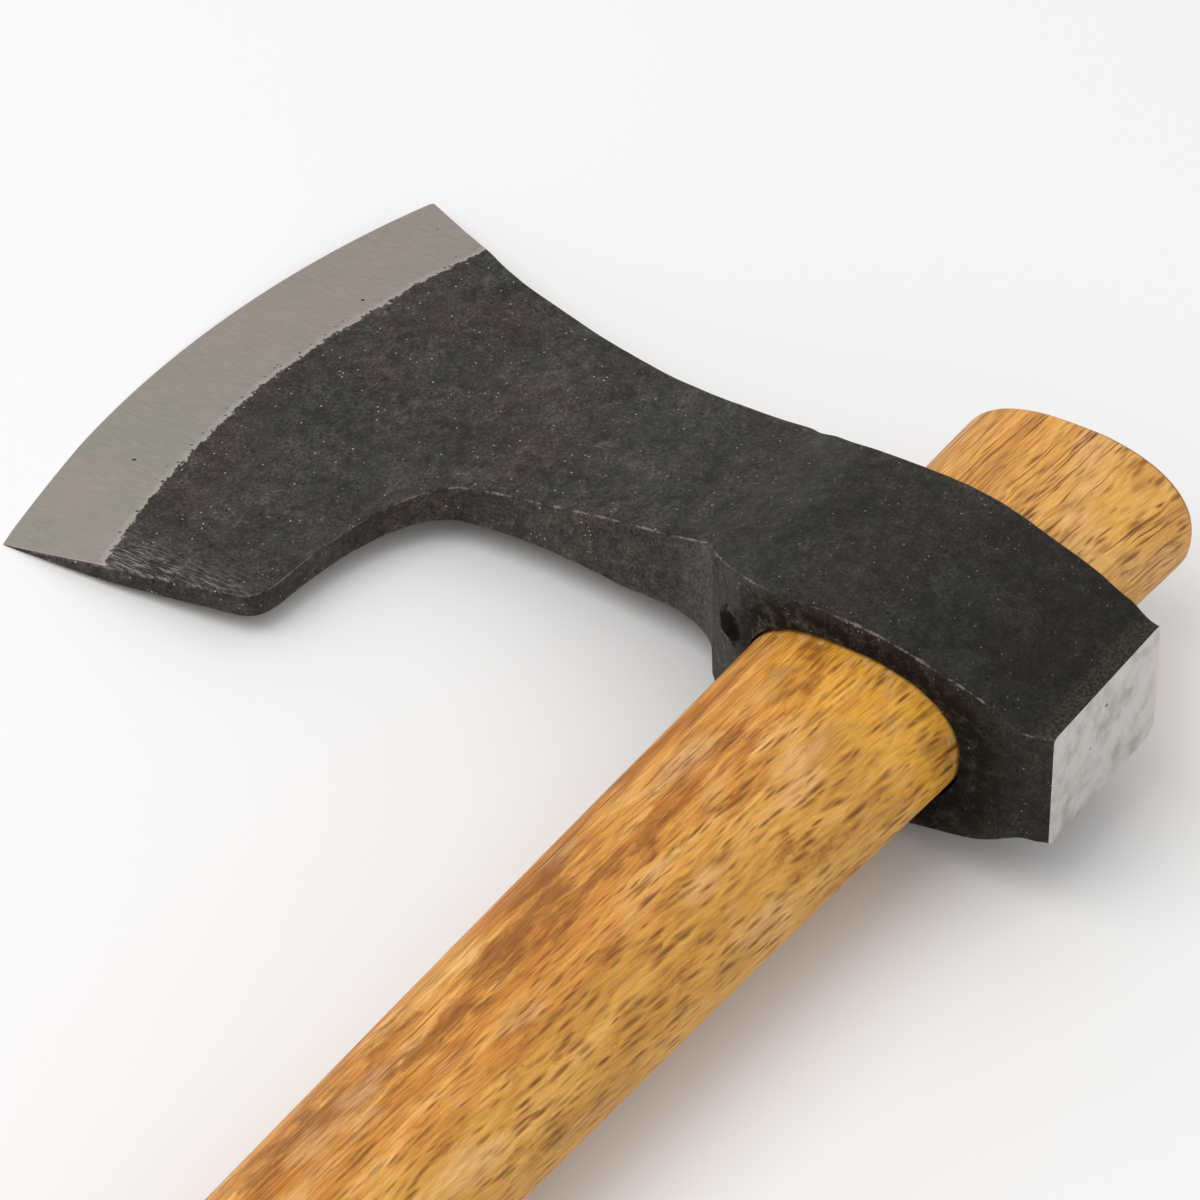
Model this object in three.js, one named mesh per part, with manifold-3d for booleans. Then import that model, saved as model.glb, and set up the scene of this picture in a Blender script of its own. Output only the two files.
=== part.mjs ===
// A slip-fit hatchet, lying on its cheek: a forged head with a tapered eye, and a straight
// hardwood haft that drops through the eye from above and jams where it swells.
// Millimetres. +X runs along the haft and out of the head's top, +Y points at the cutting
// edge, and +Z points up out of the cheek. The pieces are drawn with their zero on the
// haft's axis at the head's underside, and the finished object is then set on its box.

import * as THREE from "three";
import { mergeVertices } from "three/addons/utils/BufferGeometryUtils.js";
import Module from "manifold-3d";

const wasm = await Module();
wasm.setup();

// Head, seen from the cheek. Points are (along the haft, reach towards the edge).
const POLL_REACH = -35.2;
const POLL_LOW = 1.9;
const POLL_HIGH = 33.4;
const EYE_BLOCK_HEIGHT = 38.4;
const CHIN = { along: 9, reach: 30.2 };
const BEARD_ROOT = { along: 6.8, reach: 79 };
const BEARD_TIP = { along: -26, reach: 89.5 };
const BEARD_CORNER = { along: -32.1, reach: 92.8 };
const HEEL = { along: -42.6, reach: 137 };
const TOE = { along: 70.9, reach: 132 };
const HEAD_HALF_WIDTH = 20;

// Ground bevel: the edge is an arc, and the grind runs back from it as a shallow cone.
const EDGE_CENTRE = { along: 5.6, reach: -42.7 };
const EDGE_RADIUS = 182;
const BEVEL_WIDTH = 18;
const BEVEL_HALF_THICKNESS = 1.7;
const EDGE_HALF_THICKNESS = 0.06;
const GRIND_BACK_RADIUS = 110;
const GRIND_SIDES = 280;

// Half thickness of the head at a few reaches: poll, eye bulge, then the thin blade.
const CHEEK_STATIONS = [
  [POLL_REACH, 11],
  [-31.5, 10.7],
  [-26, 13.2],
  [-12, 17.2],
  [0, 18.7],
  [12, 18.1],
  [21, 17],
  [30.5, 13],
  [34, 10.5],
  [38, 9.1],
  [50, 6.9],
  [64, 4.8],
  [76, 3.9],
  [84, 3],
  [92, 2.2],
  [112, BEVEL_HALF_THICKNESS],
];
const CHEEK_STEPS = 48;

// Haft: its front runs straight, its back tapers, and it is thickest at the top.
// Each station is [along, front, back, half thickness].
const HAFT_TOP = 66;
const HAFT_BUTT = -334;
const HAFT_STATIONS = [
  [HAFT_BUTT, 17.4, -12, 11],
  [-180, 18.4, -13.2, 11.4],
  [-66, 19.1, -16.2, 12.2],
  [0, 19.1, -19.3, 12.7],
  [HAFT_TOP, 19.1, -23, 13.6],
];
const HAFT_ROUNDNESS = 2.33;
const HAFT_SIDES = 48;
const HAFT_BODY_RINGS = 16;
const END_ROUNDING = 1.8;
const END_ROUNDING_STEPS = 4;

// Eye: the haft's own section with this clearance, flaring out at each mouth.
const EYE_CLEARANCE = 0.3;
const LOWER_MOUTH = { depth: 1, flare: 0.8 };
const UPPER_MOUTH = { depth: 1, flare: 0.6 };
const EYE_OVERRUN = 4;

// A smooth reading of a table of stations: the values at any place between its rows.
function smoothTable(stations) {
  const places = stations.map((row) => row[0]);
  const values = stations.flatMap((row) => row.slice(1));
  const curve = new THREE.CubicInterpolant(places, values, stations[0].length - 1);
  return (place) => Array.from(curve.evaluate(place));
}

const cheekAt = smoothTable(CHEEK_STATIONS);
const haftAt = smoothTable(HAFT_STATIONS);

// A closed three.js geometry as a manifold-3d solid.
function toSolid(geometry) {
  const bare = geometry.clone();
  bare.deleteAttribute("normal");
  bare.deleteAttribute("uv");
  const welded = mergeVertices(bare, 1e-4);
  return new wasm.Manifold(
    new wasm.Mesh({
      numProp: 3,
      vertProperties: new Float32Array(welded.attributes.position.array),
      triVerts: new Uint32Array(welded.index.array),
    }),
  );
}

// A manifold-3d solid as a three.js geometry.
function toGeometry(solid) {
  const mesh = solid.getMesh();
  const geometry = new THREE.BufferGeometry();
  geometry.setAttribute("position", new THREE.BufferAttribute(mesh.vertProperties, 3));
  geometry.setIndex(new THREE.BufferAttribute(mesh.triVerts, 1));
  geometry.computeVertexNormals();
  return geometry;
}

// The head's side view: poll, top edge, the blank past the edge, heel, beard and throat.
function sideOutline() {
  const outline = new THREE.Shape();
  outline.moveTo(POLL_LOW, POLL_REACH);
  outline.lineTo(POLL_HIGH, POLL_REACH);
  outline.splineThru([
    new THREE.Vector2(35.1, -26),
    new THREE.Vector2(37.3, 0),
    new THREE.Vector2(38.6, 16),
    new THREE.Vector2(40.2, 26),
    new THREE.Vector2(43.7, 34),
    new THREE.Vector2(45.9, 42),
    new THREE.Vector2(47.5, 58),
    new THREE.Vector2(51.4, 78),
    new THREE.Vector2(57.8, 100),
    new THREE.Vector2(TOE.along, TOE.reach),
  ]);
  outline.lineTo(TOE.along, EDGE_RADIUS);
  outline.lineTo(HEEL.along, EDGE_RADIUS);
  outline.lineTo(HEEL.along, HEEL.reach);
  outline.bezierCurveTo(-41, 126, -36, 106, BEARD_CORNER.along, BEARD_CORNER.reach);
  outline.quadraticCurveTo(-30.4, 89.9, BEARD_TIP.along, BEARD_TIP.reach);
  outline.bezierCurveTo(-9, 88.8, 2.4, 85.4, BEARD_ROOT.along, BEARD_ROOT.reach);
  outline.bezierCurveTo(9.6, 73, 12.2, 52, 11.6, 38);
  outline.quadraticCurveTo(11.5, 33, CHIN.along, CHIN.reach);
  outline.lineTo(3.5, 23.3);
  outline.quadraticCurveTo(0, 18.9, 0, 14);
  outline.lineTo(0, -26);
  outline.quadraticCurveTo(0.2, -31, POLL_LOW, POLL_REACH);
  return outline;
}

// The head's thickness seen from above, from the poll face out past the edge.
function cheekOutline() {
  const bladeEnd = CHEEK_STATIONS.at(-1)[0];
  const cheek = [];
  for (let i = 0; i <= CHEEK_STEPS; i += 1) {
    const reach = THREE.MathUtils.lerp(POLL_REACH, bladeEnd, i / CHEEK_STEPS);
    cheek.push(new THREE.Vector2(reach, cheekAt(reach)[0]));
  }
  cheek.push(new THREE.Vector2(EDGE_RADIUS, BEVEL_HALF_THICKNESS));
  const otherCheek = cheek.map((point) => new THREE.Vector2(point.x, -point.y)).reverse();
  return new THREE.Shape([...cheek, ...otherCheek]);
}

// The head's side view as a slab, thick enough to hold both cheeks.
function headBlank() {
  const slab = new THREE.ExtrudeGeometry(sideOutline(), {
    depth: 2 * HEAD_HALF_WIDTH,
    bevelEnabled: false,
    curveSegments: 10,
  });
  return toSolid(slab.translate(0, 0, -HEAD_HALF_WIDTH));
}

// The thickness outline as a slab along the haft, longer than the head is high.
function cheekSlab() {
  const slab = new THREE.ExtrudeGeometry(cheekOutline(), {
    depth: 2 * EDGE_RADIUS,
    bevelEnabled: false,
  });
  const turn = new THREE.Matrix4().makeBasis(
    new THREE.Vector3(0, 1, 0),
    new THREE.Vector3(0, 0, 1),
    new THREE.Vector3(1, 0, 0),
  );
  return toSolid(slab.applyMatrix4(turn).translate(-EDGE_RADIUS, 0, 0));
}

// What the grind leaves: a lens about the edge's centre, thin at the cutting edge.
function grindLens() {
  const profile = [
    new THREE.Vector2(0, -HEAD_HALF_WIDTH),
    new THREE.Vector2(GRIND_BACK_RADIUS, -HEAD_HALF_WIDTH),
    new THREE.Vector2(EDGE_RADIUS - BEVEL_WIDTH, -BEVEL_HALF_THICKNESS),
    new THREE.Vector2(EDGE_RADIUS, -EDGE_HALF_THICKNESS),
    new THREE.Vector2(EDGE_RADIUS, EDGE_HALF_THICKNESS),
    new THREE.Vector2(EDGE_RADIUS - BEVEL_WIDTH, BEVEL_HALF_THICKNESS),
    new THREE.Vector2(GRIND_BACK_RADIUS, HEAD_HALF_WIDTH),
    new THREE.Vector2(0, HEAD_HALF_WIDTH),
  ];
  const lens = new THREE.LatheGeometry(profile, GRIND_SIDES);
  lens.rotateX(Math.PI / 2);
  return toSolid(lens.translate(EDGE_CENTRE.along, EDGE_CENTRE.reach, 0));
}

// A solid along X through rings of the haft's section, each ring grown by its "grow".
function sectionLoft(rings) {
  const geometry = new THREE.CylinderGeometry(1, 1, 1, HAFT_SIDES, rings.length - 1);
  const position = geometry.attributes.position;
  const bend = (value) => Math.sign(value) * Math.abs(value) ** (2 / HAFT_ROUNDNESS);
  for (let i = 0; i < position.count; i += 1) {
    const ring = rings[Math.round((position.getY(i) + 0.5) * (rings.length - 1))];
    const [front, back, halfThickness] = haftAt(ring.along);
    const across = bend(position.getZ(i)) * ((front - back) / 2 + ring.grow);
    const up = bend(position.getX(i)) * (halfThickness + ring.grow);
    position.setXYZ(i, ring.along, (front + back) / 2 + across, up);
  }
  return geometry;
}

// Rings round the edge of one end: from the flat end face to the haft's full section.
function endRings(end, inwards) {
  const rings = [];
  for (let i = 0; i <= END_ROUNDING_STEPS; i += 1) {
    const turn = (i / END_ROUNDING_STEPS) * (Math.PI / 2);
    rings.push({
      along: end + inwards * END_ROUNDING * (1 - Math.cos(turn)),
      grow: -END_ROUNDING * (1 - Math.sin(turn)),
    });
  }
  return rings;
}

function haftGeometry() {
  const body = [];
  for (let i = 1; i < HAFT_BODY_RINGS; i += 1) {
    body.push({ along: THREE.MathUtils.lerp(HAFT_BUTT, HAFT_TOP, i / HAFT_BODY_RINGS), grow: 0 });
  }
  return sectionLoft([...endRings(HAFT_BUTT, 1), ...body, ...endRings(HAFT_TOP, -1).reverse()]);
}

// The eye's cutter: the haft with its clearance, opening out at both mouths.
function eyeCutter() {
  const lowerMouth = EYE_CLEARANCE + LOWER_MOUTH.flare;
  const upperMouth = EYE_CLEARANCE + UPPER_MOUTH.flare;
  return toSolid(
    sectionLoft([
      { along: -EYE_OVERRUN, grow: lowerMouth },
      { along: 0, grow: lowerMouth },
      { along: LOWER_MOUTH.depth, grow: EYE_CLEARANCE },
      { along: EYE_BLOCK_HEIGHT / 2, grow: EYE_CLEARANCE },
      { along: EYE_BLOCK_HEIGHT - UPPER_MOUTH.depth, grow: EYE_CLEARANCE },
      { along: EYE_BLOCK_HEIGHT, grow: upperMouth },
      { along: EYE_BLOCK_HEIGHT + EYE_OVERRUN, grow: upperMouth },
    ]),
  );
}

function headGeometry() {
  const forged = headBlank().intersect(cheekSlab()).intersect(grindLens());
  return toGeometry(forged.subtract(eyeCutter()));
}

const forgedSteel = new THREE.MeshStandardMaterial({
  color: 0x2b2b2c,
  roughness: 0.55,
  metalness: 0.8,
});
const haftWood = new THREE.MeshStandardMaterial({
  color: 0xc98a45,
  roughness: 0.45,
  metalness: 0,
});

function piece(name, geometry, material) {
  const mesh = new THREE.Mesh(geometry, material);
  mesh.name = name;
  return mesh;
}

const pieces = new THREE.Group();
pieces.add(piece("head", headGeometry(), forgedSteel));
pieces.add(piece("haft", haftGeometry(), haftWood));

// Set the object down: the middle of its box over the origin, its lowest point at zero.
const box = new THREE.Box3().setFromObject(pieces);
const middle = box.getCenter(new THREE.Vector3());
pieces.position.set(-middle.x, -middle.y, -box.min.z);

const hatchet = new THREE.Group();
hatchet.add(pieces);

export default hatchet;
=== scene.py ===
"""A slip-fit hatchet lying on its cheek: a forged head and a straight hardwood haft.

Shapes are worked out in millimetres from the haft's axis at the head's underside, as
(along the haft, reach towards the edge, height above the haft's middle plane), and are
then put where the frame says the head and the haft are.
"""

import math

import bpy
import numpy as np
from mathutils import Matrix, Vector


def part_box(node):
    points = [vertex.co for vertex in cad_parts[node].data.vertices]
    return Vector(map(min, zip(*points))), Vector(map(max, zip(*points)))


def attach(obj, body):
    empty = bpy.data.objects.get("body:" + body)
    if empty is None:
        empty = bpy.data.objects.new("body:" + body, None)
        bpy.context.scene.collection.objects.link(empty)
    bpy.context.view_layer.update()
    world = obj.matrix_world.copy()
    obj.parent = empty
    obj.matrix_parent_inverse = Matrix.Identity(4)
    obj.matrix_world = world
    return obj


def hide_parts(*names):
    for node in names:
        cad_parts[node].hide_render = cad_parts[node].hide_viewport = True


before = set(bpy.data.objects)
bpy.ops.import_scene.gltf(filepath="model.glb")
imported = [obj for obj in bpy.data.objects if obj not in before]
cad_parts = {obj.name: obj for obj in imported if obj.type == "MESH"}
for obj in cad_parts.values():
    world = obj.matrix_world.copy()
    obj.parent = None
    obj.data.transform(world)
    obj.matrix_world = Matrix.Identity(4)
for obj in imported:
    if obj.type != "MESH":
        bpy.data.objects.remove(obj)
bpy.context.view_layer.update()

MM = 0.001

# ---------------------------------------------------------------- where things are

HEAD_LOW, HEAD_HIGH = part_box("head")
HAFT_LOW, HAFT_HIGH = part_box("haft")
POLL_REACH = -35.2
STUB_TOP = 66.0
ORIGIN = Vector(
    (
        HAFT_HIGH.x - STUB_TOP * MM,
        HEAD_LOW.y - POLL_REACH * MM,
        (HEAD_LOW.z + HEAD_HIGH.z) / 2,
    )
)
HAFT_BUTT = (HAFT_LOW.x - ORIGIN.x) / MM

# ---------------------------------------------------------------- the head's sizes, mm

EDGE_CENTRE = (5.6, -42.7)
EDGE_RADIUS = 182.0
BEVEL_WIDTH = 18.0
BEVEL_BACK = EDGE_RADIUS - BEVEL_WIDTH
BEVEL_HALF_THICKNESS = 1.7
EDGE_HALF_THICKNESS = 0.06
TOE_TURN = math.radians(69.8)
HEEL_TURN = math.radians(104.95)
EYE_HEIGHT = 38.0
EYE_GAP = 0.28
WAIST_REACH = -30.0
WAIST_WIDTH = 2.7
WAIST_FILL = 1.5
CONE_OPENING = 20
CONE_OPENS_AT = 1.3
PIT_CENTRE = (3.0, 23.6, 4.5)
PIT_DEPTH = 1.3
PIT_RADIUS = 2.4

# (reach, half thickness): poll face, shoulder, eye bulge, throat, blade.
CHEEK_STATIONS = [
    (POLL_REACH, 11.0), (-32.8, 10.75), (-31, 10.7), (-28.5, 11.7), (-25.5, 13.5), (-19, 15.7),
    (-12, 17.2), (-5, 18.35), (0, 18.7), (5, 18.6), (12, 18.1), (18, 17.45), (22, 16.7), (26, 15.1),
    (30.5, 12.9), (34, 10.7), (38, 9.15), (44, 7.85), (50, 6.9), (57, 5.8), (64, 4.8), (70, 4.25),
    (76, 3.85), (84, 3.0), (92, 2.25), (100, 1.95), (112, 1.7), (145, 1.7),
]
# (reach, height of the top edge)
TOP_STATIONS = [
    (POLL_REACH, 33.5), (-27, 35.3), (-19, 36), (-8, 37.1), (4, 38.1), (11, 38.5), (19, 38.9),
    (23, 39.4), (28, 41.2), (33, 43.5), (35.5, 45), (38, 45.6), (42.3, 46), (46.5, 46.3),
    (54.5, 47), (63.2, 48.4), (72, 50), (81.6, 52.4), (91.9, 55.6), (101, 58.1), (113, 62.9),
    (127, 68.7), (134, 71.6),
]

# ---------------------------------------------------------------- the haft's sizes, mm

# (along, front, back, half thickness)
HAFT_STATIONS = [
    (HAFT_BUTT, 17.4, -12.0, 11.0),
    (-180, 18.4, -13.2, 11.4),
    (-66, 19.1, -16.2, 12.2),
    (0, 19.1, -19.3, 12.7),
    (STUB_TOP, 19.1, -23.0, 13.6),
]
HAFT_ROUNDNESS = 2.33
EYE_HALF_REACH = 19.3
EYE_HALF_WIDTH = 12.7


# ---------------------------------------------------------------- numbers and curves

CURVE_SAMPLES = 200
LATTICE_STRIDES = (374761393, 668265263, 1442695041)
SEED_STRIDE = 974634777
LATTICE_MIXER = 1274126177


def smooth(stations, column=1):
    """A natural cubic curve through one column of the stations, as a function of the first."""
    x, y = np.array([(row[0], row[column]) for row in stations], float).T
    gap = np.diff(x)
    rise = np.diff(y) / gap
    count = len(x)
    system, right = np.eye(count), np.zeros(count)
    for i in range(1, count - 1):
        system[i, i - 1 : i + 2] = gap[i - 1], 2 * (gap[i - 1] + gap[i]), gap[i]
        right[i] = 6 * (rise[i] - rise[i - 1])
    bend = np.linalg.solve(system, right)

    def at(place):
        q = np.clip(place, x[0], x[-1])
        k = np.clip(np.searchsorted(x, q) - 1, 0, count - 2)
        before, after, g = x[k + 1] - q, q - x[k], gap[k]
        curved = (bend[k] * before**3 + bend[k + 1] * after**3) / (6 * g)
        from_left = (y[k] / g - bend[k] * g / 6) * before
        from_right = (y[k + 1] / g - bend[k + 1] * g / 6) * after
        return curved + from_left + from_right

    return at


def bezier(points, count):
    """Evenly spaced points along a Bezier curve of any degree, first point included."""
    t = np.linspace(0, 1, CURVE_SAMPLES)[:, None]
    layer = [np.asarray(p, float)[None, :] for p in points]
    while len(layer) > 1:
        layer = [a + (b - a) * t for a, b in zip(layer, layer[1:])]
    fine = layer[0]
    walked = np.concatenate([[0], np.cumsum(np.linalg.norm(np.diff(fine, axis=0), axis=1))])
    wanted = np.linspace(0, walked[-1], count + 1)[:-1]
    return np.stack([np.interp(wanted, walked, fine[:, k]) for k in range(2)], 1)


def ease(x, low, high):
    """0 below low, 1 above high, and a smooth step between them."""
    t = np.clip((x - low) / (high - low), 0, 1)
    return t * t * (3 - 2 * t)


def lattice(cells, seed):
    """A repeatable number from -1 to 1 for each whole-numbered cell."""
    n = cells @ np.array(LATTICE_STRIDES) + seed * SEED_STRIDE
    n = (n ^ (n >> 13)) * LATTICE_MIXER
    n = n ^ (n >> 16)
    return (n & 0xFFFF) / 32767.5 - 1.0


def unevenness(points, size, seed):
    """Smooth noise from -1 to 1 with lumps of about this size."""
    spot = points / np.asarray(size, float)
    cell = np.floor(spot).astype(np.int64)
    part = spot - cell
    part = part * part * (3 - 2 * part)
    total = np.zeros(len(points))
    for corner in range(8):
        step = np.array([corner & 1, (corner >> 1) & 1, (corner >> 2) & 1])
        share = np.prod(np.where(step, part, 1 - part), axis=1)
        total += share * lattice(cell + step, seed)
    return total


# ---------------------------------------------------------------- meshes

def make_piece(name, points, faces):
    """A mesh object in the row frame, from points in mm about ORIGIN."""
    mesh = bpy.data.meshes.new(name)
    placed = np.asarray(points, float) * MM + np.array(ORIGIN)
    mesh.from_pydata(placed.tolist(), [], faces)
    mesh.update()
    thing = bpy.data.objects.new(name, mesh)
    bpy.context.scene.collection.objects.link(thing)
    return thing


def tube_faces(rings, around):
    """Quads over a tube whose points are stored ring by ring."""
    faces = []
    for i in range(rings - 1):
        here, there = i * around, (i + 1) * around
        for j in range(around):
            k = (j + 1) % around
            faces.append((here + j, there + j, there + k, here + k))
    return faces


def push_out(thing, points, move):
    """Move each point of a new piece this many mm along its normal."""
    normals = np.zeros(len(points) * 3)
    thing.data.vertices.foreach_get("normal", normals)
    moved = points + normals.reshape(-1, 3) * move[:, None]
    thing.data.vertices.foreach_set("co", (moved * MM + np.array(ORIGIN)).ravel())


def shade(thing, sharp_degrees):
    """Smooth shading, with a crease where two faces meet at more than this angle."""
    mesh = thing.data
    mesh.shade_smooth()
    mesh.set_sharp_from_angle(angle=math.radians(sharp_degrees))


# ---------------------------------------------------------------- the head

cheek_half = smooth(CHEEK_STATIONS)
top_height = smooth(TOP_STATIONS)


def edge_point(turn):
    """A point (along, reach) on the cutting edge."""
    return (
        EDGE_CENTRE[0] + EDGE_RADIUS * math.cos(turn),
        EDGE_CENTRE[1] + EDGE_RADIUS * math.sin(turn),
    )


def head_stations():
    """Matching points along the head's lower and upper outlines, poll to edge."""
    heel, toe = edge_point(HEEL_TURN), edge_point(TOE_TURN)
    # each stretch of the underside, how many steps it gets, and where it ends on the top
    stretches = [
        ([(1.9, POLL_REACH), (1.3, -33.4), (0.9, -31.6), (0.5, -30)], 10, -30.0),
        ([(0.5, -30), (0.1, -28.4), (0, -27), (0, -25)], 8, -25.0),
        ([(0, -25), (0, 12)], 52, 12.0),
        ([(0, 12), (0, 18.2), (1.9, 22.4), (3.6, 24.8)], 18, 22.5),
        ([(3.6, 24.8), (7.6, 30.3)], 14, 29.0),
        ([(7.6, 30.3), (9.0, 31.2), (11.4, 31.6), (11.5, 38)], 18, 37.0),
        ([(11.5, 38), (12, 53), (9.6, 73), (6.8, 79)], 56, 76.0),
        ([(6.8, 79), (2.6, 85.6), (-9, 88.6), (-26, 89.5)], 48, 96.0),
        ([(-26, 89.5), (-30, 89.9), (-31.4, 91.2), (-32.1, 92.8)], 12, 100.5),
        ([(-32.1, 92.8), (-36, 106), (-39.7, 121), heel], 56, toe[1]),
    ]
    lower, upper = [], []
    reach = POLL_REACH
    for points, steps, top_end in stretches:
        lower.append(bezier(points, steps))
        e = np.linspace(reach, top_end, steps + 1)[:-1]
        upper.append(np.stack([top_height(e), e], 1))
        reach = top_end
    lower.append(np.array([heel]))
    upper.append(np.array([toe]))
    return np.concatenate(lower), np.concatenate(upper)


def half_thickness(along, reach):
    """The head's half thickness, with the shallow cone of the ground bevel cut in."""
    radius = np.hypot(along - EDGE_CENTRE[0], reach - EDGE_CENTRE[1])
    from_edge = np.clip(EDGE_RADIUS - radius, 0, None) / BEVEL_WIDTH
    ground = EDGE_HALF_THICKNESS + from_edge * (BEVEL_HALF_THICKNESS - EDGE_HALF_THICKNESS)
    # behind the bevel the cone opens quickly, so that it never touches the cheeks
    ground += CONE_OPENING * np.clip(from_edge - CONE_OPENS_AT, 0, None)
    # the waist in front of the poll fades out towards the top
    filled = WAIST_FILL * np.exp(-(((reach - WAIST_REACH) / WAIST_WIDTH) ** 2))
    filled = filled * np.clip(along / 30, 0, 1) ** 0.7
    return np.minimum(cheek_half(reach) + filled, ground)


CORNER_STEPS = 5
CHEEK_STEPS = 120
WALL_STEPS = 16
TOP_ROUNDING = 0.9
CHEEK_POINTS = 2 * (CORNER_STEPS + 1) + CHEEK_STEPS - 1


def head_loop(low, high, bend, corners):
    """One closed ring round the head: up one cheek, over the top, down the other cheek."""
    length = np.linalg.norm(high - low)
    rows = []
    for side in (1, -1):
        half_ends = half_thickness(*low), half_thickness(*high)
        radii = [min(r, 0.9 * h, 0.2 * length) for r, h in zip(corners[side], half_ends)]
        turn = np.linspace(0, math.pi / 2, CORNER_STEPS + 1)
        shares = np.concatenate(
            [
                radii[0] * (1 - np.cos(turn)) / length,
                np.linspace(radii[0] / length, 1 - radii[1] / length, CHEEK_STEPS + 1)[1:-1],
                1 - radii[1] * (1 - np.cos(turn[::-1])) / length,
            ]
        )
        drop = np.concatenate(
            [
                radii[0] * (1 - np.sin(turn)),
                np.zeros(CHEEK_STEPS - 1),
                radii[1] * (1 - np.sin(turn[::-1])),
            ]
        )
        plan = low + (high - low) * shares[:, None] + bend(shares)
        z = np.maximum(half_thickness(plan[:, 0], plan[:, 1]) - drop, 0.02) * side
        rows.append(np.column_stack([plan, z]))
    front, back = rows[0], rows[1][::-1]
    wall = np.linspace(0, 1, WALL_STEPS + 1)[1:-1, None]
    over_top = front[-1] + (back[0] - front[-1]) * wall
    under = back[-1] + (front[0] - back[-1]) * wall
    return np.concatenate([front, over_top, back, under])


def lip_weights():
    """For each point of a head ring, how much it lies on the cheek's lower rounded edge."""
    turn = np.linspace(0, math.pi / 2, CORNER_STEPS + 1)
    cheek = np.zeros(CHEEK_POINTS)
    cheek[: CORNER_STEPS + 1] = np.sin(2 * turn) ** 0.5
    cheek[-CORNER_STEPS - 1 :] = 0.5 * np.sin(2 * turn) ** 0.5
    wall = np.zeros(WALL_STEPS - 1)
    return np.concatenate([cheek, wall, cheek[::-1], wall])


def end_cap(ring, first, start, crown, flip):
    """Points and faces that close a ring with a grid between its two cheeks."""
    cheek = CHEEK_POINTS
    wall = WALL_STEPS - 1
    index = np.zeros((wall + 2, cheek), int)
    index[0] = start + np.arange(cheek)
    index[-1] = (start + cheek + wall + np.arange(cheek))[::-1]
    index[1:-1, -1] = start + cheek + np.arange(wall)
    index[1:-1, 0] = (start + 2 * cheek + wall + np.arange(wall))[::-1]
    points = []
    for i in range(1, wall + 1):
        share = i / (wall + 1)
        for j in range(1, cheek - 1):
            lift = crown * (1 - (2 * share - 1) ** 2) * (1 - (2 * j / (cheek - 1) - 1) ** 4)
            spot = ring[j] * (1 - share) + ring[index[-1, j] - start] * share
            points.append(spot + np.array([0, lift, 0]))
            index[i, j] = first + len(points) - 1
    faces = []
    for i in range(wall + 1):
        for j in range(cheek - 1):
            face = (index[i, j], index[i, j + 1], index[i + 1, j + 1], index[i + 1, j])
            faces.append(tuple(int(v) for v in (face[::-1] if flip else face)))
    return points, faces


def forge_marks(points):
    """How far the hammer, the scale and a casting fault move each point along its normal."""
    along, reach = points.T[:2]
    radius = np.hypot(along - EDGE_CENTRE[0], reach - EDGE_CENTRE[1])
    raw = 1 - ease(radius, BEVEL_BACK - 1, BEVEL_BACK + 2)
    raw *= ease(reach, POLL_REACH + 0.1, POLL_REACH + 2)
    move = 0.16 * unevenness(points, 17, 1) + 0.07 * unevenness(points, 6, 2)
    move += 0.035 * unevenness(points, 2.2, 3)
    from_pit = np.linalg.norm(points - np.array(PIT_CENTRE), axis=1)
    ragged = 1 + 0.5 * unevenness(points, 1.3, 4)
    move -= PIT_DEPTH * np.exp(-((from_pit / (PIT_RADIUS * ragged)) ** 4))
    return move * raw


def off_chord(low, high, shares):
    """How far the edge's arc stands off the straight line between its two ends."""
    arc = np.array([edge_point(HEEL_TURN + (TOE_TURN - HEEL_TURN) * share) for share in shares])
    return arc - (low + (high - low) * shares[:, None])


def corner_radii(reach):
    """For the upper and the lower cheek, the rounding of its under edge and its top edge."""
    worn = 0.55 + 0.5 * (1 - ease(reach, -34.6, -33))
    scooped = 2.6 * ease(reach, 30.6, 32.5) * (1 - ease(reach, 38, 52))
    fuller = 1.6 * (1 - ease(reach, -34.5, -30))
    return {1: (worn, TOP_ROUNDING), -1: (worn + scooped, TOP_ROUNDING + fuller)}


def head_mesh():
    """The head's points and faces, and how much each point lies on a rubbed lip."""
    low, high = head_stations()
    count = len(low)
    rings = []
    for i in range(count):
        # the rings are straight at the poll, and the last one lies on the edge's arc
        pull = ease(low[i, 1] + high[i, 1], 160, 256) if i < count - 1 else 1.0
        bend = lambda shares, pull=pull: off_chord(low[-1], high[-1], shares) * pull
        rings.append(head_loop(low[i], high[i], bend, corner_radii(low[i, 1])))
    around = len(rings[0])
    points = np.concatenate(rings)
    lips = np.tile(lip_weights(), count)
    faces = tube_faces(count, around)
    for which, crown, flip in ((0, -0.35, False), (count - 1, 0.0, True)):
        added, closing = end_cap(rings[which], len(points), which * around, crown, flip)
        points = np.concatenate([points, np.array(added)])
        faces += closing
    lips = np.concatenate([lips, np.zeros(len(points) - len(lips))])
    return points, faces, lips


haft_front, haft_back, haft_half = (smooth(HAFT_STATIONS, column) for column in (1, 2, 3))


def section(along, angle, grow):
    """A point ring of the haft's rounded oval section at one place along it."""
    front, back = haft_front(along), haft_back(along)
    power = 2 / HAFT_ROUNDNESS
    bow = lambda v: np.sign(v) * np.abs(v) ** power
    reach = (front + back) / 2 + bow(np.cos(angle)) * ((front - back) / 2 + grow)
    height = bow(np.sin(angle)) * (haft_half(along) + grow)
    return np.column_stack([np.full(len(angle), along), reach, height])


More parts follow.
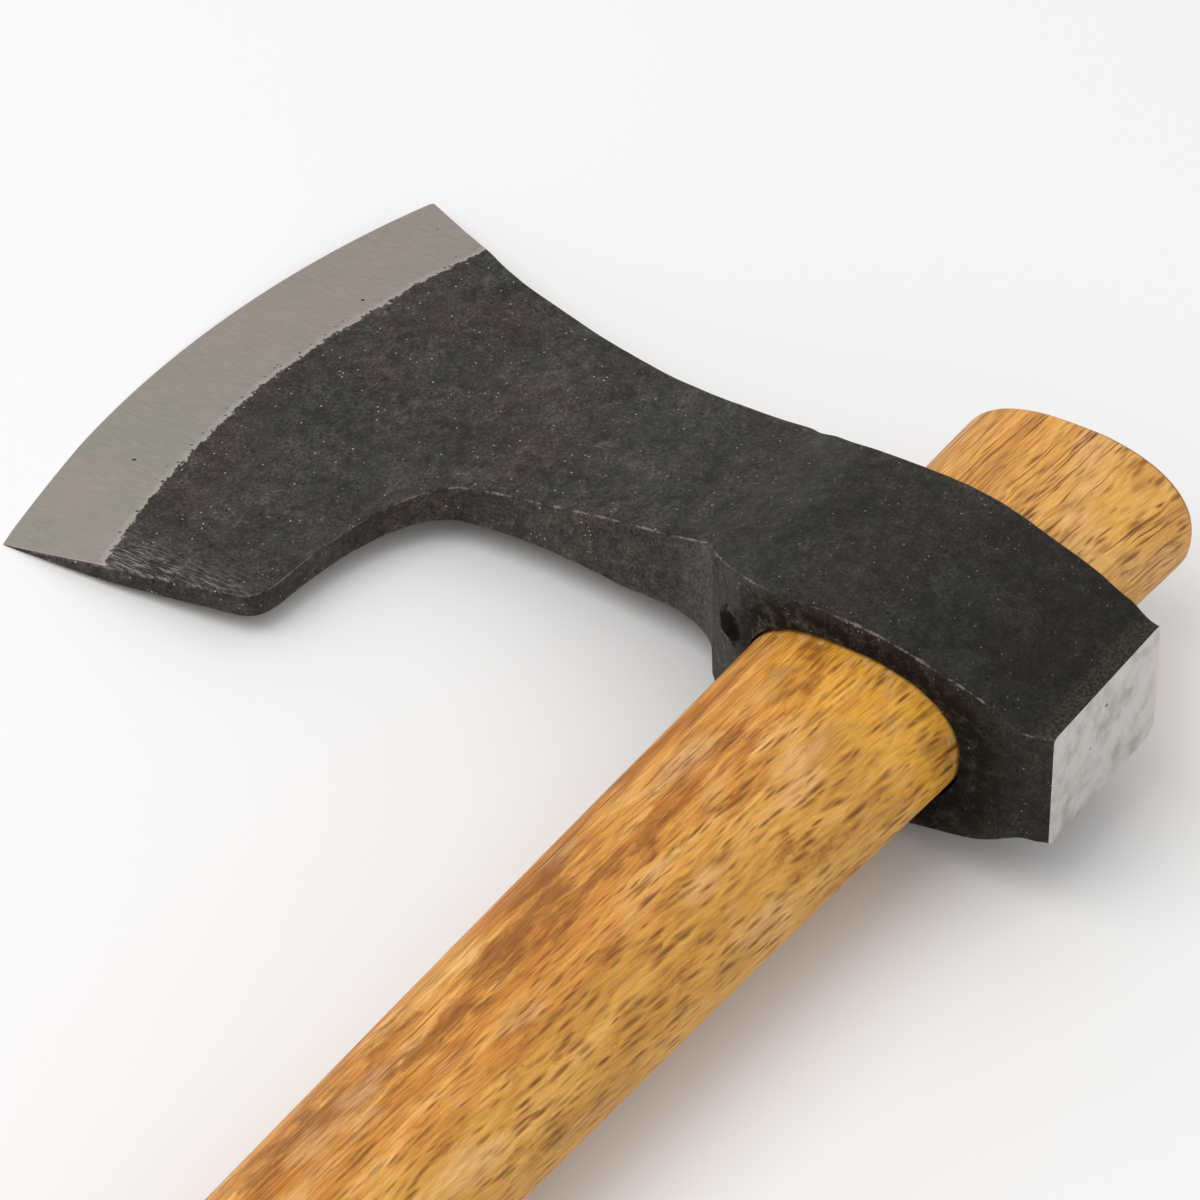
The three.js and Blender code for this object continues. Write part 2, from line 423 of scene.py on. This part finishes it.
def closed_tube(rings):
    """Points and faces of a tube with a fan over each end."""
    around = len(rings[0])
    points = np.concatenate(rings)
    faces = tube_faces(len(rings), around)
    for start, ring, flip in ((0, rings[0], True), ((len(rings) - 1) * around, rings[-1], False)):
        centre = len(points)
        points = np.concatenate([points, ring.mean(0)[None, :]])
        for j in range(around):
            k = (j + 1) % around
            face = (start + j, start + k, centre)
            faces.append(face[::-1] if flip else face)
    return points, faces


def eye_cutter():
    """The eye: the haft's section and a gap, flaring out at a rough mouth at each end."""
    angle = np.linspace(0, 2 * math.pi, 181)[:-1]
    lower_mouth = [(-5, 0.5), (0, 0.45), (0.3, 0.25), (0.7, 0.1), (1.2, 0.03), (2.2, 0)]
    walls = [(along, 0) for along in np.linspace(8, EYE_HEIGHT - 4, 9)]
    upper_mouth = [(EYE_HEIGHT + past, flare) for past, flare in ((-2, 0), (-0.6, 0.4), (1, 1.2), (8, 1.2))]
    rings = []
    for along, flare in lower_mouth + walls + upper_mouth:
        ring = section(along, angle, EYE_GAP + flare)
        middle = ring.mean(0)
        rough = 1 + 0.02 * unevenness(ring, 3.0, 11) * min(1, flare)
        rings.append(middle + (ring - middle) * rough[:, None])
    points, faces = closed_tube(rings)
    return make_piece("eye_cutter", points, faces)


def build_head():
    """The forged head with its eye cut through, and a point attribute for its rubbed lips."""
    points, faces, lips = head_mesh()
    head = make_piece("forged_head", points, faces)
    head.data.attributes.new("lip", "FLOAT", "POINT").data.foreach_set("value", lips)
    push_out(head, points, forge_marks(points))
    cutter = eye_cutter()
    cut = head.modifiers.new("eye", "BOOLEAN")
    cut.operation = "DIFFERENCE"
    cut.object = cutter
    cut.solver = "EXACT"
    bpy.context.view_layer.update()
    depsgraph = bpy.context.evaluated_depsgraph_get()
    result = bpy.data.meshes.new_from_object(head.evaluated_get(depsgraph))
    head.modifiers.clear()
    head.data = result
    bpy.data.objects.remove(cutter)
    shade(head, 38)
    return head


# ---------------------------------------------------------------- the haft

def build_haft():
    """The haft from its square-cut butt to the rounded stub above the head."""
    angle = np.linspace(0, 2 * math.pi, 97)[:-1]
    rings = []

    def ring(along, grow, tilt=0.0):
        spots = section(along, angle, grow)
        spots[:, 0] += tilt * (-spots[:, 1] / 40)
        rings.append(spots)

    rounding, steps = 1.9, 7
    for grow in (-9.0, -6.0, -3.5):
        ring(HAFT_BUTT, grow)
    for turn in np.linspace(0, math.pi / 2, steps):
        ring(HAFT_BUTT + rounding * (1 - math.cos(turn)), -rounding * (1 - math.sin(turn)))
    for along in np.arange(HAFT_BUTT + 4, STUB_TOP - 3, 1.6):
        ring(along, 0.0)
    for turn in np.linspace(math.pi / 2, 0, steps):
        ring(STUB_TOP - rounding * (1 - math.cos(turn)), -rounding * (1 - math.sin(turn)), 0.9)
    for grow in (-3.5, -6.0, -9.0):
        ring(STUB_TOP, grow, 0.9)
    points, faces = closed_tube(rings)
    haft = make_piece("hardwood_haft", points, faces)
    stretched = points * np.array([0.12, 1, 1])
    move = 0.07 * unevenness(stretched, 7, 21) + 0.025 * unevenness(stretched, 2.2, 22)
    in_eye = ease(points[:, 0], -6, 2) * (1 - ease(points[:, 0], 36, 42))
    move = move * (1 - in_eye) - 0.05
    push_out(haft, points, move)
    shade(haft, 50)
    return haft


# ---------------------------------------------------------------- material helpers

SPECULAR_LEVEL = 0.22


class Nodes:
    """Short names for the nodes that the materials use."""

    def __init__(self, name):
        self.material = bpy.data.materials.new(name)
        self.material.use_nodes = True
        self.tree = self.material.node_tree
        self.shader = self.tree.nodes["Principled BSDF"]
        where = self.add("ShaderNodeTexCoord")
        self.normal = where.outputs["Normal"]
        scaled = self.vector("MULTIPLY", where.outputs["Object"], (1 / MM,) * 3)
        self.place = self.vector("SUBTRACT", scaled, tuple(ORIGIN / MM))
        self.along, self.reach, self.height = (self.axis(self.place, k) for k in range(3))
        self.on_cheek = self.step(self.math("ABSOLUTE", self.axis(self.normal, 2)), 0.75, 0.9)
        self.facing_down = self.step(self.product(self.axis(self.normal, 0), -1.0), 0.25, 0.6)

    def add(self, kind, **settings):
        node = self.tree.nodes.new(kind)
        for key, value in settings.items():
            setattr(node, key, value)
        return node

    def put(self, value, socket):
        if isinstance(value, bpy.types.NodeSocket):
            self.tree.links.new(value, socket)
        elif isinstance(value, tuple) and len(value) == 3 and socket.type == "RGBA":
            socket.default_value = (*value, 1)
        else:
            socket.default_value = value

    def math(self, operation, *values):
        node = self.add("ShaderNodeMath", operation=operation)
        for value, socket in zip(values, node.inputs):
            self.put(value, socket)
        return node.outputs[0]

    def product(self, *factors):
        result = factors[0]
        for factor in factors[1:]:
            result = self.math("MULTIPLY", result, factor)
        return result

    def vector(self, operation, a, b=(0, 0, 0)):
        node = self.add("ShaderNodeVectorMath", operation=operation)
        self.put(a, node.inputs[0])
        self.put(b, node.inputs[1])
        return node.outputs["Value" if operation == "DISTANCE" else "Vector"]

    def axis(self, vector, index):
        node = self.add("ShaderNodeSeparateXYZ")
        self.put(vector, node.inputs[0])
        return node.outputs[index]

    def noise(self, size, detail=3.0, rough=0.55, stretch=(1, 1, 1), shift=0.0, warp=0.0, spot=None):
        """Noise from 0 to 1 with lumps of about this many mm."""
        scale = tuple(1 / (size * s) for s in stretch)
        spot = self.vector("MULTIPLY", spot or self.place, scale)
        spot = self.vector("ADD", spot, (shift, shift * 1.7, shift * 2.3))
        node = self.add("ShaderNodeTexNoise")
        self.put(spot, node.inputs["Vector"])
        node.inputs["Scale"].default_value = 1.0
        node.inputs["Detail"].default_value = detail
        node.inputs["Roughness"].default_value = rough
        node.inputs["Distortion"].default_value = warp
        return node.outputs["Fac"]

    def cells(self, size, shift=0.0):
        """Distance to the nearest of scattered points, and that point's random colour."""
        spot = self.vector("MULTIPLY", self.place, (1 / size,) * 3)
        spot = self.vector("ADD", spot, (shift, shift * 1.3, shift * 2.1))
        node = self.add("ShaderNodeTexVoronoi")
        self.put(spot, node.inputs["Vector"])
        node.inputs["Scale"].default_value = 1.0
        return node.outputs["Distance"], node.outputs["Color"]

    def spindles(self, spot, length, width, shown, shift=0.0):
        """Scattered spindles, this far apart, on a flat map: up to 1 on each, 0 between."""
        spot = self.vector("MULTIPLY", spot, (1 / length, 1 / width, 0))
        spot = self.vector("ADD", spot, (shift, shift * 1.3, 0))
        node = self.add("ShaderNodeTexVoronoi", voronoi_dimensions="2D")
        self.put(spot, node.inputs["Vector"])
        node.inputs["Scale"].default_value = 1.0
        kind = node.outputs["Color"]
        there = self.step(self.axis(kind, 0), shown, shown + 0.05)
        extent = self.math("MULTIPLY_ADD", self.axis(kind, 1), 0.22, 0.22)
        inside = self.math("DIVIDE", node.outputs["Distance"], extent)
        inside = self.step(inside, 1.1, 0.15)
        strength = self.math("MULTIPLY_ADD", self.axis(kind, 2), 0.6, 0.4)
        return self.product(inside, there, strength)

    def step(self, value, low, high):
        """0 below low and 1 above high, or the other way round if low is above high."""
        node = self.add("ShaderNodeMapRange", interpolation_type="SMOOTHSTEP")
        self.put(value, node.inputs["Value"])
        flipped = low > high
        node.inputs["From Min"].default_value = high if flipped else low
        node.inputs["From Max"].default_value = low if flipped else high
        node.inputs["To Min"].default_value = 1.0 if flipped else 0.0
        node.inputs["To Max"].default_value = 0.0 if flipped else 1.0
        return node.outputs["Result"]

    def mix(self, share, a, b, blend="MIX"):
        node = self.add("ShaderNodeMix", data_type="RGBA", blend_type=blend)
        self.put(share, node.inputs["Factor"])
        self.put(a, node.inputs[6])
        self.put(b, node.inputs[7])
        return node.outputs[2]

    def blend_value(self, share, a, b):
        node = self.add("ShaderNodeMix", data_type="FLOAT")
        self.put(share, node.inputs["Factor"])
        self.put(a, node.inputs[2])
        self.put(b, node.inputs[3])
        return node.outputs[0]

    def ramp(self, value, *stops):
        node = self.add("ShaderNodeValToRGB")
        self.put(value, node.inputs["Fac"])
        elements = node.color_ramp.elements
        while len(elements) < len(stops):
            elements.new(0.5)
        for element, (place, colour) in zip(elements, stops):
            element.position = place
            element.color = (*colour, 1)
        return node.outputs["Color"]

    def bump(self, height, distance):
        """Relief of this many mm."""
        node = self.add("ShaderNodeBump")
        node.inputs["Strength"].default_value = 1.0
        node.inputs["Distance"].default_value = distance * MM
        self.put(height, node.inputs["Height"])
        return node.outputs["Normal"]

    def finish(self, colour, roughness, normal):
        self.put(colour, self.shader.inputs["Base Color"])
        self.put(roughness, self.shader.inputs["Roughness"])
        self.put(normal, self.shader.inputs["Normal"])
        self.shader.inputs["Specular IOR Level"].default_value = SPECULAR_LEVEL
        return self.material


# ---------------------------------------------------------------- materials

def ground_areas(n, coarse, ragged):
    """Where the grinder has been: the bevel with its ragged back line, and the poll face."""
    flat = n.vector("MULTIPLY", n.place, (1, 1, 0))
    radius = n.vector("DISTANCE", flat, (*EDGE_CENTRE, 0))
    line = n.math("ADD", radius, n.product(coarse, 2.4))
    line = n.math("ADD", line, n.product(ragged, 3.0))
    bevel = n.product(n.step(line, BEVEL_BACK - 0.18, BEVEL_BACK + 0.18), n.on_cheek)
    facing_back = n.product(n.axis(n.normal, 1), -1.0)
    at_poll = n.step(n.reach, POLL_REACH + 0.9, POLL_REACH + 0.6)
    poll = n.product(n.step(facing_back, 0.7, 0.85), at_poll)
    return line, bevel, poll


def black_scale(n, grain, pits):
    """Forge scale: blotches, grain, brown and purple tints, pale specks and dark pits."""
    blotch = n.math("ADD", n.product(n.noise(2.4, 6, 0.75), 0.7), n.product(n.noise(11, 3), 0.3))
    dark = n.ramp(
        blotch,
        (0.36, (0.015, 0.014, 0.012)),
        (0.47, (0.034, 0.032, 0.027)),
        (0.54, (0.048, 0.045, 0.039)),
        (0.66, (0.082, 0.075, 0.064)),
    )
    tint = n.ramp(n.noise(15, 3, shift=8), (0.48, (0.95, 1.0, 0.93)), (0.66, (1.3, 0.9, 1.02)))
    dark = n.mix(0.5, dark, tint, "MULTIPLY")
    grained = n.ramp(
        grain,
        (0.30, (0.35, 0.35, 0.34)),
        (0.50, (0.95, 0.95, 0.93)),
        (0.72, (2.4, 2.3, 2.2)),
    )
    dark = n.mix(1.0, dark, grained, "MULTIPLY")
    speck_far, speck_kind = n.cells(1.0)
    specks = n.product(n.step(speck_far, 0.20, 0.13), n.step(n.axis(speck_kind, 0), 0.80, 0.82))
    speck_colour = n.mix(n.axis(speck_kind, 2), (0.22, 0.15, 0.07), (0.50, 0.47, 0.42))
    dark = n.mix(n.product(specks, 0.85), dark, speck_colour)
    return n.mix(n.product(pits, 0.8), dark, (0.006, 0.005, 0.004))


def painted_shade_light_and_poll_tint(n, dark, grain, coarse, ragged):
    """Painted shade and light: the boss is painted darker towards the poll, the underside of the throat is
    painted lighter with a painted highlight just past the chin ridge, and a grainy brown tint lies on the
    cheeks beside the poll face.
    """
    wandering = n.math("ADD", n.reach, n.product(coarse, 14))
    # painted shade: the boss's cheeks, and then all the scaled steel, are darkened towards the poll
    painted_boss_shade = n.product(n.step(wandering, 58, 22), n.on_cheek, 0.55)
    dark = n.mix(painted_boss_shade, dark, (0.3, 0.3, 0.28), "MULTIPLY")
    dark = n.mix(n.product(n.step(wandering, 8, -26), 0.8), dark, (0.4, 0.41, 0.35), "MULTIPLY")
    # painted light: the underside of the throat, beyond the chin ridge, is painted lighter
    throat = n.product(n.facing_down, n.step(n.reach, 29.8, 30.8), n.step(n.reach, 78, 66))
    dark = n.mix(n.product(throat, 0.85), dark, (1.22, 1.22, 1.24), "MULTIPLY")
    # painted highlight: a grainy pale band on the underside, from the chin ridge forward
    ridge_highlight_edge = n.math("ADD", n.reach, n.product(ragged, 3))
    band = n.product(n.step(ridge_highlight_edge, 29.6, 30.4), n.step(ridge_highlight_edge, 44, 30), n.facing_down, 0.3)
    dark = n.mix(n.product(band, n.step(grain, 0.3, 0.55)), dark, (0.19, 0.185, 0.18))
    by_poll = n.product(n.step(n.reach, POLL_REACH + 4.5, POLL_REACH + 2.5), n.on_cheek)
    return n.mix(n.product(by_poll, n.step(grain, 0.4, 0.65), 0.5), dark, (0.085, 0.075, 0.04))


def eye_stain_and_shade(n, coarse):
    """Oil and rust stain round the eye's mouth, together with painted shade where the steel underside meets
    the haft.
    """
    across = n.math("POWER", n.math("ABSOLUTE", n.product(n.reach, 1 / EYE_HALF_REACH)), HAFT_ROUNDNESS)
    over = n.math("POWER", n.math("ABSOLUTE", n.product(n.height, 1 / EYE_HALF_WIDTH)), HAFT_ROUNDNESS)
    from_haft = n.math("ADD", n.math("ADD", across, over), n.product(coarse, 0.6))
    patches = n.step(n.noise(2.6, 5, 0.7, shift=27), 0.66, 0.44)
    low = n.product(n.step(n.along, 2.6, 1.2), n.facing_down)
    return n.product(n.step(from_haft, 3.2, 1.5), low, n.step(n.reach, 27, 17), patches)


def worn_places(n, dark):
    """Lips rubbed bright by handling, and the grinder's strokes near the heel."""
    lip = n.add("ShaderNodeAttribute", attribute_name="lip").outputs["Fac"]
    rubbed = n.step(n.product(lip, n.noise(3.2, 5, 0.75, shift=12)), 0.42, 0.60)
    dark = n.mix(n.product(rubbed, 0.75), dark, (0.22, 0.215, 0.20))
    strokes = n.noise(0.3, 3, 0.7, stretch=(1, 9, 1), shift=15)
    near_heel = n.product(n.step(n.along, -25, -36), n.step(n.reach, 88, 96), n.on_cheek)
    stroke = n.product(n.step(strokes, 0.50, 0.64), near_heel, 0.85)
    return n.mix(stroke, dark, (0.30, 0.29, 0.28))


def small_holes(n, line, bevel):
    """A few deep pits in the ground steel, and many along the bevel's back line."""
    hole_far, hole_kind = n.cells(4.5, shift=4)
    holes = n.product(n.step(hole_far, 0.10, 0.05), n.step(n.axis(hole_kind, 0), 0.80, 0.81))
    near_back = n.product(n.step(line, BEVEL_BACK + 3.2, BEVEL_BACK), bevel)
    near_far, near_kind = n.cells(0.9, shift=6)
    near_holes = n.product(n.step(near_far, 0.36, 0.2), n.step(n.axis(near_kind, 0), 0.72, 0.74))
    return n.math("MAXIMUM", holes, n.product(near_holes, near_back))


def ground_steel(n, line, bevel, poll, lines, holes):
    """Bright steel: warm grey with faint tints and hairlines, and a smudged poll face."""
    bright = n.ramp(
        n.noise(20, 2, shift=2),
        (0.38, (0.345, 0.325, 0.275)),
        (0.62, (0.39, 0.33, 0.30)),
    )
    duller = n.mix(1.0, bright, (0.92, 0.92, 0.91), "MULTIPLY")
    bright = n.mix(n.step(n.along, 45, -35), duller, bright)
    bright = n.mix(n.product(n.step(lines, 0.35, 0.7), 0.3), bright, (0.50, 0.47, 0.42))
    fringe = n.product(n.step(line, BEVEL_BACK + 1.5, BEVEL_BACK), bevel)
    bright = n.mix(n.product(fringe, 0.5), bright, (0.58, 0.55, 0.50))
    bright = n.mix(holes, bright, (0.05, 0.045, 0.04))
    smudge = n.step(n.noise(5.0, 5, 0.65, shift=6), 0.40, 0.72)
    face = n.mix(n.product(smudge, 0.75), (0.56, 0.54, 0.515), (0.30, 0.26, 0.235))
    face = n.mix(holes, face, (0.08, 0.06, 0.05))
    return n.mix(poll, bright, face)


def forged_steel():
    """Black forge scale, oil and wear, with a ground bevel and poll face."""
    n = Nodes("forged_steel")
    coarse = n.math("SUBTRACT", n.noise(5.5, 2), 0.5)
    ragged = n.math("SUBTRACT", n.noise(1.0, 4, 0.75), 0.5)
    grain = n.noise(0.55, 3, 0.75, shift=3)
    lines = n.noise(0.3, 3, 0.6, stretch=(1, 18, 1), shift=5)
    pit_far, pit_kind = n.cells(1.7, shift=9)
    pits = n.product(n.step(pit_far, 0.20, 0.08), n.step(n.axis(pit_kind, 1), 0.62, 0.64))
    line, bevel, poll = ground_areas(n, coarse, ragged)
    ground = n.math("MAXIMUM", bevel, poll)

    dark = black_scale(n, grain, pits)
    # painted shade towards the poll, painted light under the throat, and a brown tint by the poll face
    dark = painted_shade_light_and_poll_tint(n, dark, grain, coarse, ragged)
    # oil and rust stain round the eye, with painted shade where the steel meets the haft, in nearly black
    # brown
    soaked_and_shaded = eye_stain_and_shade(n, coarse)
    dark = n.mix(n.product(soaked_and_shaded, 0.93), dark, (0.007, 0.0035, 0.001))
    from_pit = n.math("ADD", n.vector("DISTANCE", n.place, PIT_CENTRE), n.product(ragged, 6))
    in_pit = n.step(from_pit, 3.4, 2.2)
    dark = n.mix(in_pit, dark, (0.003, 0.0025, 0.002))
    dark = worn_places(n, dark)

    holes = small_holes(n, line, bevel)
    bright = ground_steel(n, line, bevel, poll, lines, holes)
    colour = n.mix(ground, dark, bright)
    rough_scale = n.blend_value(grain, 0.42, 0.75)
    rough_scale = n.blend_value(n.math("MAXIMUM", soaked_and_shaded, in_pit), rough_scale, 1.0)
    roughness = n.blend_value(ground, rough_scale, n.blend_value(lines, 0.30, 0.42))

    relief = n.math("ADD", n.product(n.noise(1.9, 6, 0.7, shift=1), 1.3), n.product(grain, 0.45))
    relief = n.math("SUBTRACT", relief, n.product(pits, 0.5))
    relief = n.product(relief, n.math("SUBTRACT", 1.0, ground))
    relief = n.math("ADD", relief, n.product(lines, ground, 0.05))
    relief = n.math("SUBTRACT", relief, n.product(holes, 0.3))
    normal = n.bump(relief, 0.45)
    n.put(n.blend_value(ground, 0.15, 0.95), n.shader.inputs["Metallic"])
    return n.finish(colour, roughness, normal)


def grain_map(n):
    """A flat map of the haft's surface whose grain runs at a slight slant and wavers."""
    turn = n.math("ARCTAN2", n.math("ADD", n.reach, -1.5), n.height)
    wavering = n.noise(9, 2, stretch=(2, 1, 1), shift=31)
    wavering = n.product(n.math("SUBTRACT", wavering, 0.5), 2.4)
    slanted = n.math("ADD", n.product(turn, 16), n.product(n.along, 0.07))
    surface = n.add("ShaderNodeCombineXYZ")
    n.put(n.along, surface.inputs[0])
    n.put(n.math("ADD", slanted, wavering), surface.inputs[1])
    return surface.outputs[0], slanted


def broad_colour(n, surface, slanted, sideways):
    """Amber at the front, olive yellow at the back, with brown clouds, and pale patches that are painted
    highlights.
    """
    streak = n.noise(3.4, 5, 0.6, stretch=(9, 1, 1.6), warp=0.4)
    base = n.ramp(
        streak,
        (0.32, (0.37, 0.122, 0.017)),
        (0.44, (0.54, 0.208, 0.034)),
        (0.56, (0.70, 0.320, 0.064)),
        (0.70, (0.88, 0.500, 0.160)),
    )
    base = n.mix(n.product(n.step(sideways, 3, -14), 0.6), base, (0.60, 0.330, 0.066))
    base = n.mix(n.product(n.step(n.along, 32, 44), 0.3), base, (0.88, 0.470, 0.130))
    band = n.step(n.math("ABSOLUTE", n.math("ADD", slanted, -1.5)), 9, 1)
    cloud = n.noise(5.5, 5, 0.68, stretch=(2.6, 1, 1), shift=7, spot=surface)
    shaded = n.math("ADD", cloud, n.product(n.math("ADD", band, -0.4), 0.12))
    brown = n.product(n.step(shaded, 0.50, 0.66), n.step(n.along, 34, 26))
    base = n.mix(n.product(brown, 0.7), base, (0.24, 0.074, 0.011))
    # painted highlights: soft pale patches stand in for blurred glints on the oiled wood
    pale = n.step(n.noise(8, 2, 0.5, stretch=(2.2, 1, 1), shift=41, spot=surface), 0.48, 0.28)
    base = n.mix(n.product(pale, 0.5), base, (0.80, 0.48, 0.20))
    return base, brown


def gathered_finish(n, base, sideways):
    """The finish has gathered yellow in the last stretch below the eye."""
    gathered = n.product(n.step(n.along, -22, -5), n.step(n.along, 12, 2), n.step(sideways, 16, 4))
    gathered = n.product(gathered, n.step(n.noise(5, 4, 0.6, shift=17), 0.3, 0.6))
    return n.mix(n.product(gathered, 0.7), base, (0.86, 0.42, 0.040))


def ray_flecks(n, surface, brown, on_front):
    """Short dark spindles, the ends of the wood's rays, densest in the brown clouds."""
    small = n.spindles(surface, 7.2, 1.05, 0.2)
    long = n.spindles(surface, 11.0, 1.35, 0.3, shift=5.0)
    patchy = n.step(n.noise(4.5, 3, stretch=(2.0, 1, 1), shift=9), 0.30, 0.55)
    patchy = n.math("MAXIMUM", patchy, n.product(brown, 0.9))
    fewer = n.math("SUBTRACT", 1.0, n.product(on_front, 0.45))
    return n.product(n.math("MAXIMUM", small, long), patchy, fewer)


def ends_and_mouth(n, base):
    """Darkened end grain, and pale fibres scraped at the eye's mouth."""
    top_end = n.step(n.along, STUB_TOP - 1.3, STUB_TOP - 0.5)
    end = n.math("MAXIMUM", top_end, n.step(n.along, HAFT_BUTT + 1.3, HAFT_BUTT + 0.5))
    rings = n.noise(1.2, 3, 0.6, stretch=(60, 1, 4), shift=19)
    end_colour = n.mix(rings, (0.20, 0.075, 0.018), (0.42, 0.19, 0.055))
    base = n.mix(n.product(end, 0.8), base, end_colour)
    at_mouth = n.product(n.step(n.along, -2.0, -0.4), n.step(n.along, 2.5, 1.0))
    scraped = n.step(n.noise(1.6, 4, 0.7, shift=23), 0.52, 0.62)
    return n.mix(n.product(at_mouth, scraped, 0.6), base, (0.70, 0.46, 0.24))


def haft_wood():
    """Oiled amber hardwood: broad colour, fibres, dark lines, ray flecks and end grain."""
    n = Nodes("haft_wood")
    clouded = n.math("SUBTRACT", n.noise(14, 2, stretch=(3, 1, 1)), 0.5)
    sideways = n.math("ADD", n.reach, n.product(clouded, 16))
    on_front = n.step(sideways, -4, 9)
    surface, slanted = grain_map(n)
    base, brown = broad_colour(n, surface, slanted, sideways)
    base = gathered_finish(n, base, sideways)

    # fine fibres everywhere, and long dark lines that are strongest on the front
    fibre = n.noise(0.5, 4, 0.65, stretch=(9, 1, 1), shift=14, spot=surface)
    fibres = n.ramp(
        fibre,
        (0.30, (0.62, 0.52, 0.42)),
        (0.50, (0.98, 0.98, 0.98)),
        (0.70, (1.25, 1.32, 1.45)),
    )
    base = n.mix(0.65, base, fibres, "MULTIPLY")
    grain = n.noise(0.5, 3, 0.6, stretch=(45, 1, 1), shift=4, spot=surface)
    lined = n.math("MAXIMUM", n.product(on_front, 0.6), n.product(n.step(n.along, 30, 42), 0.7))
    lined = n.math("ADD", lined, 0.18)
    base = n.mix(n.product(n.step(grain, 0.54, 0.66), lined), base, (0.20, 0.066, 0.012))
    dash = ray_flecks(n, surface, brown, on_front)
    base = n.mix(n.product(dash, 0.95), base, (0.18, 0.062, 0.010))
    base = ends_and_mouth(n, base)

    roughness = n.blend_value(fibre, 0.42, 0.62)
    relief = n.math("ADD", n.product(fibre, 0.8), n.product(grain, -0.4))
    relief = n.math("SUBTRACT", relief, n.product(dash, 0.8))
    normal = n.bump(relief, 0.12)
    return n.finish(base, roughness, normal)


def pale_floor():
    """A matt, nearly even, pale grey."""
    n = Nodes("pale_floor")
    colour = n.ramp(n.noise(400, 2), (0.0, (0.86, 0.86, 0.86)), (1.0, (0.9, 0.9, 0.9)))
    n.put(colour, n.shader.inputs["Base Color"])
    n.shader.inputs["Roughness"].default_value = 0.7
    return n.material


# ---------------------------------------------------------------- stage, light, camera

BUTT_ZONE = 0.004
BLADE_ZONE = 0.02
CLEAR_OF_AXIS = 0.02


def resting_plane(pieces):
    """The plane that a hatchet laid on its cheek settles on, as (point, normal), in metres."""
    points = np.concatenate(
        [np.array([p.matrix_world @ v.co for v in p.data.vertices]) for p in pieces]
    )
    butt = points[points[:, 0] < points[:, 0].min() + BUTT_ZONE]
    butt = butt[butt[:, 2].argmin()]
    blade = points[points[:, 1] > points[:, 1].max() - BLADE_ZONE]
    heel = blade[blade[:, 0].argmin()]

    # the plane hinges about the line from butt to heel, up to the first point of the cheek
    axis = (heel - butt) / np.linalg.norm(heel - butt)
    away = points - butt
    across = away - np.outer(away @ axis, axis)
    side = np.cross(axis, (0, 0, 1))
    side /= np.linalg.norm(side)
    up = np.cross(side, axis)
    turn = np.arctan2(across @ up, across @ side)
    lowest = turn[across @ side > CLEAR_OF_AXIS].min()
    direction = side * math.cos(lowest) + up * math.sin(lowest)
    normal = np.cross(direction, axis)
    normal *= np.sign(normal[2])
    return butt, normal


def build_floor(pieces):
    """A plain floor, tilted to meet the hatchet's resting points."""
    point, normal = resting_plane(pieces)
    size = 3.0
    mesh = bpy.data.meshes.new("floor")
    mesh.from_pydata(
        [(-size, -size, 0), (size, -size, 0), (size, size, 0), (-size, size, 0)], [], [(0, 1, 2, 3)]
    )
    floor = bpy.data.objects.new("floor", mesh)
    bpy.context.scene.collection.objects.link(floor)
    turn = Vector((0, 0, 1)).rotation_difference(Vector(normal)).to_matrix().to_4x4()
    floor.matrix_world = Matrix.Translation(Vector(point)) @ turn
    mesh.materials.append(pale_floor())


def area_light(name, place, aim, size, power):
    """A round soft lamp at one point, turned towards another."""
    data = bpy.data.lights.new(name, "AREA")
    data.shape = "DISK"
    data.size = size
    data.energy = power
    lamp = bpy.data.objects.new(name, data)
    bpy.context.scene.collection.objects.link(lamp)
    lamp.location = place
    lamp.rotation_euler = (aim - place).to_track_quat("-Z", "Y").to_euler()


def build_light():
    """One large soft key light over the butt, and an even pale sky."""
    aim = ORIGIN + Vector((0, 0.03, 0))
    area_light("key", aim + Vector((-0.65, 0.25, 1.35)), aim, size=1.2, power=9)
    world = bpy.data.worlds.new("studio")
    world.use_nodes = True
    sky = world.node_tree.nodes["Background"]
    sky.inputs["Color"].default_value = (1, 1, 1, 1)
    sky.inputs["Strength"].default_value = 0.8
    bpy.context.scene.world = world


def build_camera():
    """The photograph's view: a long lens, low over the butt and the poll."""
    turn, tilt, roll = (math.radians(v) for v in (55.2289, 41.3928, -0.6373))
    right = Vector((math.cos(turn), -math.sin(turn), 0))
    ahead = Vector((math.sin(turn), math.cos(turn), 0))
    up = Vector((0, 0, 1))
    look = math.cos(tilt) * ahead - math.sin(tilt) * up
    over = math.sin(tilt) * ahead + math.cos(tilt) * up
    across = math.cos(roll) * right + math.sin(roll) * over
    upward = -math.sin(roll) * right + math.cos(roll) * over
    sideways, rise, distance = 0.041439, -0.018937, 0.92308
    place = ORIGIN - (look + sideways * across + rise * upward) * distance
    data = bpy.data.cameras.new("camera")
    data.lens, data.sensor_width = 180, 36
    data.clip_end = 20
    camera = bpy.data.objects.new("camera", data)
    bpy.context.scene.collection.objects.link(camera)
    axes = Matrix((across, upward, -look)).transposed().to_4x4()
    camera.matrix_world = Matrix.Translation(place) @ axes
    bpy.context.scene.camera = camera


# ---------------------------------------------------------------- putting it together

build_camera()
build_light()

head = build_head()
head.data.materials.clear()
head.data.materials.append(forged_steel())
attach(head, "head")
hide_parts("head")

haft = build_haft()
haft.data.materials.append(haft_wood())
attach(haft, "haft")
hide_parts("haft")

build_floor([head, haft])
bpy.context.scene.view_settings.view_transform = "Standard"
